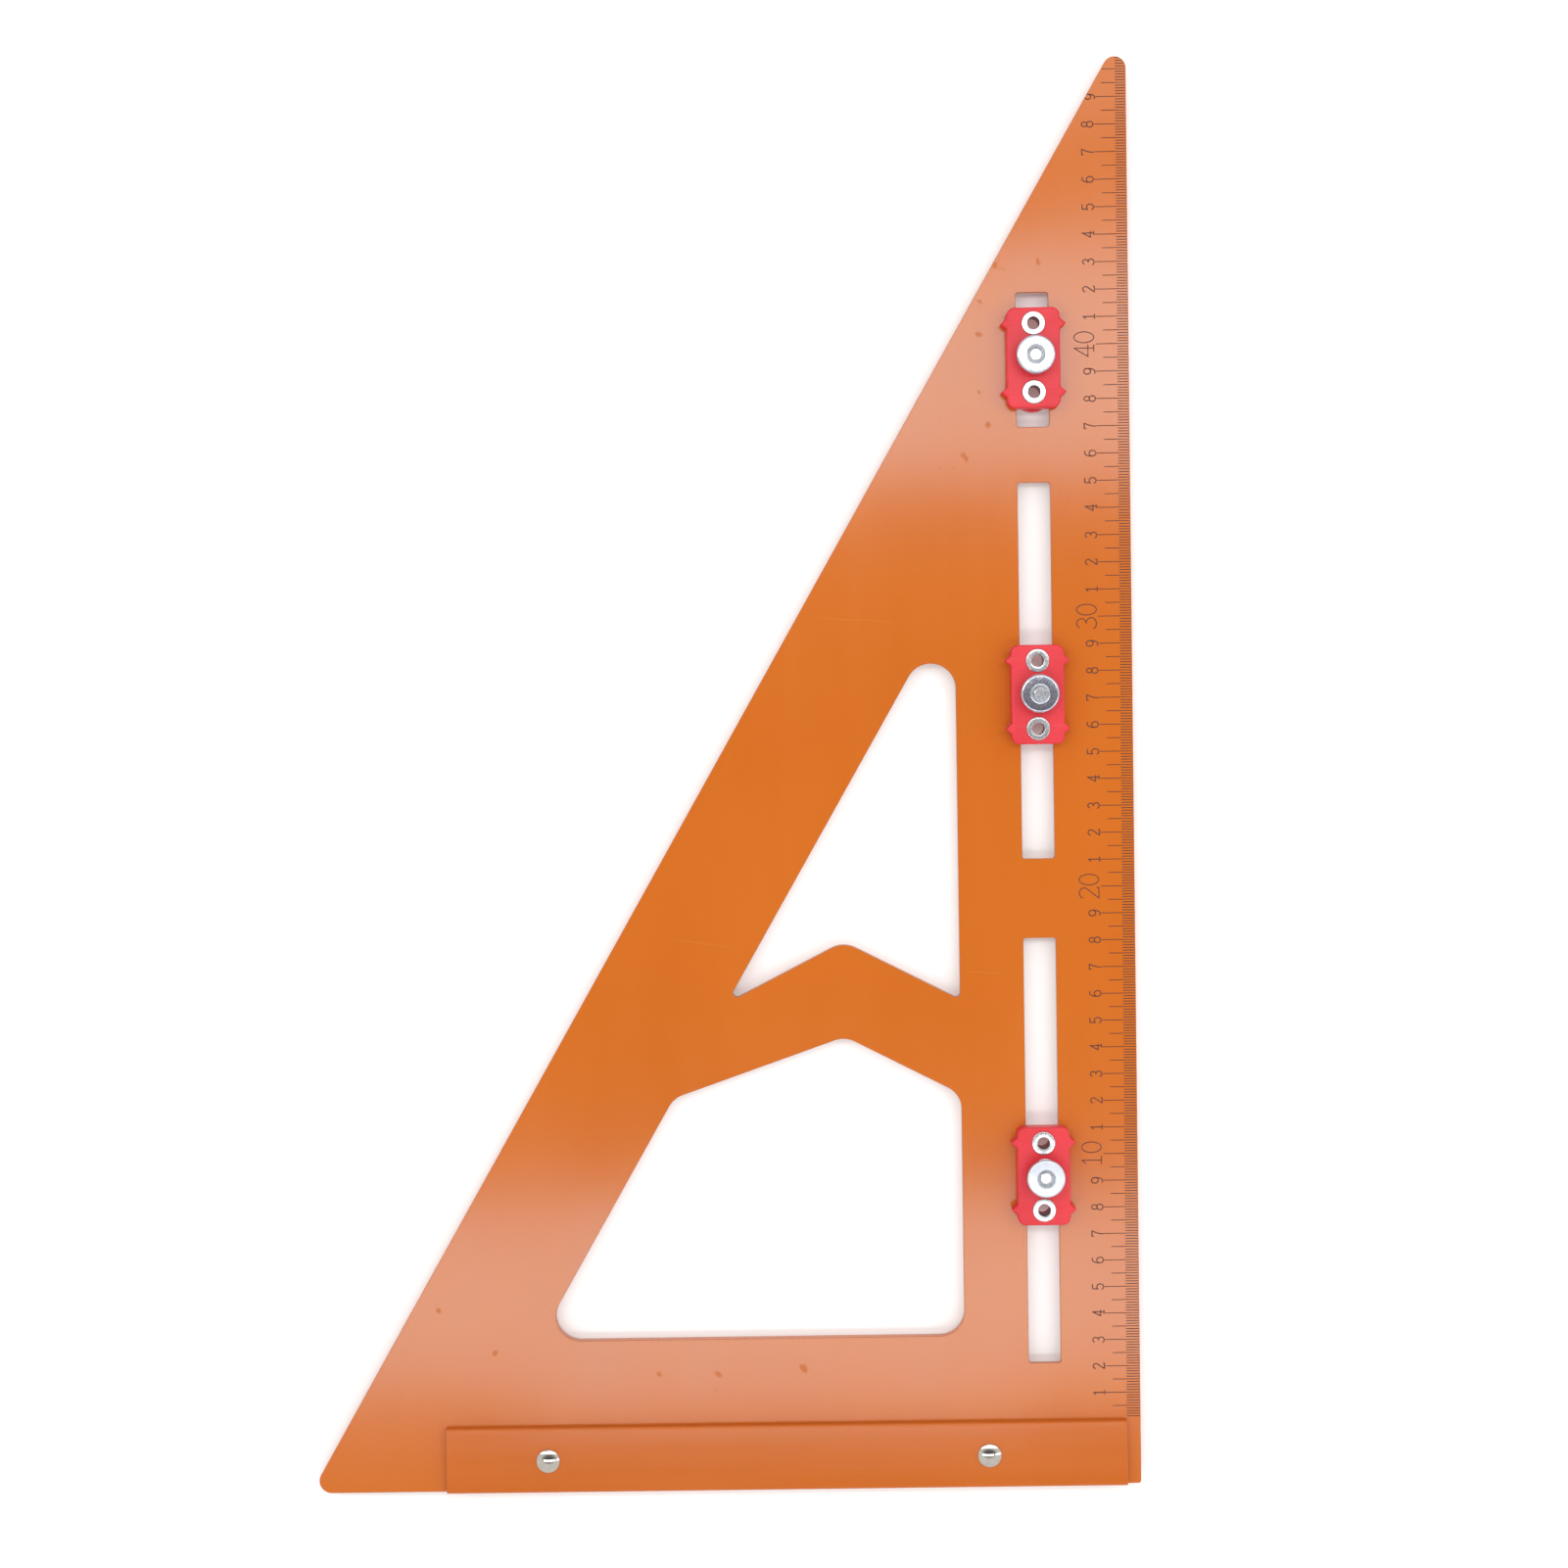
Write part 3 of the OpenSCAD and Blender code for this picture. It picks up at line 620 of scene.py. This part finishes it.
def make_rivets():
    for key, x in RIVETS.items():
        s = Solid(x, -FENCE_W / 2)
        rim_r, crown, edge = 4.4, 1.05, 0.55
        rr = (rim_r**2 + crown**2) / (2 * crown)
        z = PLATE_TOP + BAR_T
        zc, a0 = z + edge + crown - rr, math.asin(rim_r / rr)
        side = rounded([(2.49, z), (rim_r, z), (rim_r, z + edge), (rr * math.sin(a0 * 0.9), zc + rr * math.cos(a0 * 0.9))], [0, 0.15, 0.3, 0], 10, closed=False)
        dome = [(rr * math.sin(a0 * (0.85 - 0.85 * k / 24)), zc + rr * math.cos(a0 * (0.85 - 0.85 * k / 24))) for k in range(24)]
        prof = [(0, 0.06), (1.2, 0.03), (3.78, 0.01), (3.95, 0.06), (2.49, 1.52)] + side + dome + [(0, zc + rr)]
        s.turned(prof, 96)
        s.make(f"{key}_fence_rivet", [NICKEL], "square", [f"fence_rivet_{key}"])


# ---------------------------------------------------------------- drill guides
def guide_outline(d):
    """Outline of the moulded body moved in by d, with its four pointers."""
    half = math.atan2(1.9, 2.25)
    nx, ny = math.sin(half), math.cos(half)
    yp, cx, cyy, r = 12.5, 6.75, 15.3, 3.0 - d
    reach = nx * 12.0 - d
    tip_r = max(0.25 - d, 0.03)
    tip = (reach - tip_r) / nx
    foot = (reach - nx * (9.75 - d)) / ny
    q = [(9.75 - d, yp - foot)]
    for k in range(7):
        a = (k / 6 * 2 - 1) * (math.pi / 2 - half)
        q.append((tip + tip_r * math.cos(a), yp + tip_r * math.sin(a)))
    q.append((9.75 - d, yp + foot))
    for j in range(15):
        a = math.pi / 2 * j / 14
        q.append((cx + r * math.cos(a), cyy + r * math.sin(a)))
    up = [(-x, y) for x, y in q[::-1]]
    return q + up + [(-x, -y) for x, y in q] + [(x, -y) for x, y in q[::-1]]


def make_guide(key, y):
    body = f"{key}_guide"
    # moulded body
    s = Solid(SLOT_X, y)
    z0, z1, c = GUIDE_Z, GUIDE_TOP, 0.8
    rings = [s.ring(guide_outline(i), z0 + 0.15 - h) for i, h in edge_round(0.15, 2)[::-1]]
    rings += [s.ring(guide_outline(i), z1 - c + h) for i, h in edge_round(c, 5)]
    s.walls(rings)
    low, top = [rings[0]], [rings[-1]]
    for xx, yy, r in ((0, -12.5, 4.32), (STUD_X, STUD_Y, 2.8), (0, 12.5, 4.32)):
        hole = circle(r, 64, xx, yy)
        wide = circle(r + 0.12, 64, xx, yy)
        rr = [s.ring(hole, z0), s.ring(hole, z1 - 0.12), s.ring(wide, z1)]
        s.walls(rr, False)
        low.append(rr[0])
        top.append(rr[-1])
    # low ribs from the bushes to the pointers
    for sx in (-1, 1):
        for yy in (-12.5, 12.5):
            xs = sorted((sx * 4.7, sx * 9.4))
            rib = block(xs[0], xs[1], yy - 0.9, yy + 0.9, 0.3, 30)
            rr = [s.ring(rib, z1), s.ring(grown(rib, -0.08), z1 + 0.035), s.ring(grown(rib, -0.2), z1 + 0.05)]
            s.walls(rr)
            s.cap([rr[-1]], True)
            top.append(rr[0])
    s.cap(low, False)
    s.cap(top, True)
    s.make(f"{key}_guide_moulding", [RED], body, [f"{key}_guide_body"])
    # bushes
    for tag, yy in (("a", 12.5), ("b", -12.5)):
        s = Solid(SLOT_X, y + yy)
        zb, zt = GUIDE_Z, GUIDE_TOP + 0.4
        prof = rounded([(2.3, zb), (4.3, zb), (4.3, zt), (2.3, zt)], [0.3, 0.3, 0.3, 0.16], 15)
        s.turned(prof, 96, closed=True, bore=1)
        # the closing wall (the bore) takes the dark steel copy with painted shade and red reflection
        s.make(f"{key}_bush_{tag}", [STEEL, BORE_PAINTED_SHADE], body, [f"{key}_drill_bush_{tag}"])


def groove(a, big_r, n=60):
    phi = (a + math.pi / n) % (2 * math.pi / n) - math.pi / n
    d, r = big_r + 0.18, 0.3
    h = d * math.sin(phi)
    if abs(h) >= r:
        return big_r
    return min(big_r, d * math.cos(phi) - math.sqrt(r * r - h * h))


def thread(z, a, r_in, r_out):
    """Radius of a right-hand thread of the common pitch at height z and angle a."""
    t = ((z - NUT_Z) / PITCH - a / (2 * math.pi)) % 1.0
    k = abs(2 * t - 1)
    k = min(1.0, max(0.0, (k - 0.10) / 0.72))
    return r_in + (r_out - r_in) * k


def make_nut(key, y):
    s = Solid(SLOT_X + STUD_X, y + STUD_Y)
    n, r, q, m = 360, 7.05, 5.0, 72
    ang = [2 * math.pi * i / n for i in range(n)]
    low = rounded([(3.2, NUT_Z), (q, NUT_Z), (q, HEAD_Z), (r, HEAD_Z), (r, HEAD_Z + 2)], [0, 0.3, 0.4, 0.4, 0], 15, closed=False)[:-1]
    high = rounded([(r, NUT_TOP - 2), (r, NUT_TOP), (3.72, NUT_TOP)], [0, 0.85, 0], 9, closed=False)[1:]
    flute = [groove(a, r) for a in ang]
    rings = [s.ring(circle(pr, n), z) for pr, z in low]
    z0, z1 = HEAD_Z + 0.5, NUT_TOP - 0.95
    for z, k in ((z0, 0.0), (z0 + 0.45, 1.0), (z1 - 0.7, 1.0), (z1, 0.0)):
        rings.append(s.ring([((r + (g - r) * k) * math.cos(a), (r + (g - r) * k) * math.sin(a)) for a, g in zip(ang, flute)], z))
    s.walls(rings, m=1)
    crown = [rings[-1]] + [s.ring(circle(pr, n), z) for pr, z in high]
    s.walls(crown)
    rings += crown[1:]
    # countersink and threaded bore
    inner = [s.ring(circle(3.50, m), NUT_TOP), s.ring(circle(3.40, m), NUT_TOP - 0.06), s.ring(circle(2.62, m), NUT_TOP - 0.98)]
    rows = int((NUT_TOP - 1.0 - NUT_Z - 0.1) / 0.1)
    for k in range(rows + 1):
        z = NUT_TOP - 1.05 - k * (NUT_TOP - 1.05 - NUT_Z - 0.15) / rows
        fade = min(1.0, k / 4, (rows - k) / 4)
        pts = []
        for i in range(m):
            a = 2 * math.pi * i / m
            rr = thread(z, a, 2.17, 2.60)
            rr = 2.60 + (rr - 2.60) * fade
            pts.append((rr * math.cos(a), rr * math.sin(a)))
        inner.append(s.ring(pts, z))
    inner.append(s.ring(circle(2.75, m), NUT_Z))
    s.walls(inner, m=1)
    s.cap([rings[-1], inner[0]], True)
    s.cap([rings[0], inner[-1]], False)
    # the lower nut takes the lighter zinc copy, painted light; the other nuts take the plain zinc
    s.make(f"{key}_nut_body", [ZINC_PAINTED_LIGHT if key == "lower" else ZINC, WORN], f"{key}_nut", [f"{key}_thumb_nut"])


def make_stud(key, y):
    s = Solid(SLOT_X + STUD_X, y + STUD_Y)
    m, z_end, z = 72, NUT_TOP - 1.3, SHOE_Z
    rings = [s.pole(z + 0.04), s.ring(circle(2.2, m), z + 0.02), s.ring(circle(4.2, m), z), s.ring(circle(4.36, m), z + 0.16), s.ring(circle(4.36, m), z + 1.28), s.ring(circle(2.48, m), z + 1.28), s.ring(circle(2.48, m), z + 3.5)]
    z_low = z + 3.6
    rows = int((z_end - 0.12 - z_low) / 0.1)
    for k in range(rows + 1):
        z = z_low + k * (z_end - 0.12 - z_low) / rows
        fade = min(1.0, k / 6)
        top = 2.48 if z < z_end - 0.5 else 2.48 - (z - z_end + 0.5) * 0.95
        pts = []
        for i in range(m):
            a = 2 * math.pi * i / m
            rr = thread(z, a, 2.05, 2.48)
            rr = min(top, 2.48 + (rr - 2.48) * fade)
            pts.append((rr * math.cos(a), rr * math.sin(a)))
        rings.append(s.ring(pts, z))
    s.walls(rings)
    s.walls([rings[-1], s.ring(circle(1.86, m), z_end), s.ring(circle(0.9, m), z_end), s.pole(z_end)], m=1)
    s.make(f"{key}_stud_bolt", [WORN, STEEL], f"{key}_clamp", [f"{key}_clamp_stud"], sharp=20.0)


SHOES = {"upper": 38.2, "middle": 34.8, "lower": 34.8}


def shoe_outlines(l, end_r=7.6, neck_w=5.8, flange_w=9.0, flange_y=17.0):
    """Outline of the neck with its round ends, and of the flange below it."""
    cyy = l / 2 - end_r
    a = math.acos(neck_w / end_r)
    half = [(end_r * math.cos(a + (math.pi - 2 * a) * k / 20), cyy + end_r * math.sin(a + (math.pi - 2 * a) * k / 20)) for k in range(21)]
    neck = half + [(-x, -y) for x, y in half]
    r = end_r + 0.03
    b = math.asin((flange_y - cyy) / r)
    half = [(flange_w - 3 + 3 * math.cos(math.pi / 2 * k / 8), flange_y - 3 + 3 * math.sin(math.pi / 2 * k / 8)) for k in range(9)]
    half += [(r * math.cos(b + (math.pi - 2 * b) * k / 16), cyy + r * math.sin(b + (math.pi - 2 * b) * k / 16)) for k in range(17)]
    half += [(-x, y) for x, y in half[:9][::-1]]
    return neck, half + [(-x, -y) for x, y in half]


def make_shoe(key, y):
    s = Solid(SLOT_X, y)
    z0, z1, z2 = SHOE_Z, SHOE_Z + 1.8, SHOE_Z + 3.7
    neck, flange = shoe_outlines(SHOES[key])
    er, fine = edge_round(0.3, 3), edge_round(0.1, 2)
    f = [s.ring(grown(flange, -i), z0 + 0.1 - h) for i, h in fine[::-1]] + [s.ring(flange, z1)]
    s.walls(f)
    k = [s.ring(neck, z1)] + [s.ring(grown(neck, -i), z2 - 0.3 + h) for i, h in er]
    s.walls(k)
    s.cap([f[-1], k[0]], True)
    low, top = [f[0]], [k[-1]]
    for yy in (-12.5, 12.5):
        r = [s.ring(circle(2.6, 48, 0, yy), z0), s.ring(circle(2.6, 48, 0, yy), z2)]
        s.walls(r, False)
        low.append(r[0])
        top.append(r[1])
    c = lambda r: circle(r, 64, STUD_X, STUD_Y)
    r = [s.ring(c(4.4), z0), s.ring(c(4.4), z0 + 1.3), s.ring(c(2.52), z0 + 1.3), s.ring(c(2.52), z2)]
    s.walls(r, False)
    low.append(r[0])
    top.append(r[-1])
    s.cap(low, False)
    s.cap(top, True)
    s.make(f"{key}_sliding_shoe", [RED], f"{key}_clamp", [f"{key}_slot_shoe"])


make_plate()
make_scale()
make_bars()
make_rivets()
for key, y in GUIDES.items():
    make_guide(key, y)
    make_nut(key, y)
    make_stud(key, y)
    make_shoe(key, y)

# ---------------------------------------------------------------- floor, light, camera
floor_mesh = bpy.data.meshes.new("floor")
q = 6.0
floor_mesh.from_pydata([(-q, -q, -0.00005), (q, -q, -0.00005), (q, q, -0.00005), (-q, q, -0.00005)], [], [(0, 1, 2, 3)])
floor = bpy.data.objects.new("floor", floor_mesh)
bpy.context.scene.collection.objects.link(floor)
fs = Shader("pale_floor")
fn = fs.noise(3, 2.0)
fs.set(Base_Color=fs.ramp(fn, [(0.3, (0.885, 0.89, 0.895)), (0.7, (0.905, 0.91, 0.915))]), Roughness=0.9)
fs.b.inputs["Specular IOR Level"].default_value = 0.0
fs.b.inputs["Emission Color"].default_value = (1, 1, 1, 1)
fs.b.inputs["Emission Strength"].default_value = 0.15
floor_mesh.materials.append(fs.mat)

world = bpy.data.worlds.new("studio")
bpy.context.scene.world = world
world.use_nodes = True
wt = world.node_tree
wt.nodes.clear()
wo = wt.nodes.new("ShaderNodeOutputWorld")
wb = wt.nodes.new("ShaderNodeBackground")
wc = wt.nodes.new("ShaderNodeTexCoord")
wx = wt.nodes.new("ShaderNodeSeparateXYZ")
wr = wt.nodes.new("ShaderNodeValToRGB")
wt.links.new(wc.outputs["Generated"], wx.inputs[0])


def wmath(op, a, b):
    n = wt.nodes.new("ShaderNodeMath")
    n.operation = op
    for sock, v in zip(n.inputs, (a, b)):
        if isinstance(v, bpy.types.NodeSocket):
            wt.links.new(v, sock)
        else:
            sock.default_value = v
    return n.outputs[0]


up = wmath("MAXIMUM", wx.outputs[2], 0.05)
wu = wmath("DIVIDE", wmath("DIVIDE", wx.outputs[0], up), 0.42)
wv = wmath("DIVIDE", wmath("SUBTRACT", wmath("DIVIDE", wx.outputs[1], up), -0.06), 0.27)
away = wmath("SQRT", wmath("ADD", wmath("MULTIPLY", wu, wu), wmath("MULTIPLY", wv, wv)), 0.0)
wt.links.new(wmath("DIVIDE", away, 4.0), wr.inputs[0])
wt.links.new(wr.outputs[0], wb.inputs[0])
wt.links.new(wb.outputs[0], wo.inputs[0])
e = wr.color_ramp.elements
e[0].position, e[0].color = 0.10, (0.12, 0.12, 0.126, 1)
e[1].position, e[1].color = 0.42, (0.936, 0.918, 0.90, 1)
e.new(0.25).color = (0.25, 0.25, 0.25, 1)
wb.inputs["Strength"].default_value = 1.0


def strip(name, y, width, length, radiance, x=0.0, z=1.2074):
    data = bpy.data.lights.new(name, "AREA")
    data.shape, data.size, data.size_y = "RECTANGLE", length, width
    data.energy = radiance * math.pi * width * length
    data.color = (1.0, 1.0, 1.0)
    obj = bpy.data.objects.new(name, data)
    obj.location = (x, y, z)
    bpy.context.scene.collection.objects.link(obj)


strip("upper_strip", 0.2907, 0.194, 2.2, 5.10)
strip("upper_fill", 0.53, 0.10, 0.9, 2.0, x=0.30)
strip("lower_strip", -0.4734, 0.1605, 1.15, 4.64, x=-0.02)
strip("lower_strip_far", -0.4734, 0.1605, 1.15, 4.64, x=1.32)
strip("lower_fill", -0.5632, 0.019, 0.42, 4.64, x=-0.01)

cam_data = bpy.data.cameras.new("camera")
cam_data.sensor_width, cam_data.lens = 36.0, 61.334
cam_data.clip_start, cam_data.clip_end = 0.01, 50.0
cam = bpy.data.objects.new("camera", cam_data)
bpy.context.scene.collection.objects.link(cam)
cz = Vector((0.013383, 0.043823, 0.99895)).normalized()
cx = Vector((0.999778, -0.016856, -0.012655))
cx = (cx - cz * cx.dot(cz)).normalized()
cy = cz.cross(cx)
cam.matrix_world = Matrix(((cx.x, cy.x, cz.x, 0.038116), (cx.y, cy.y, cz.y, 0.043254), (cx.z, cy.z, cz.z, 0.997582), (0, 0, 0, 1)))
bpy.context.scene.camera = cam
bpy.context.scene.view_settings.view_transform = "Standard"
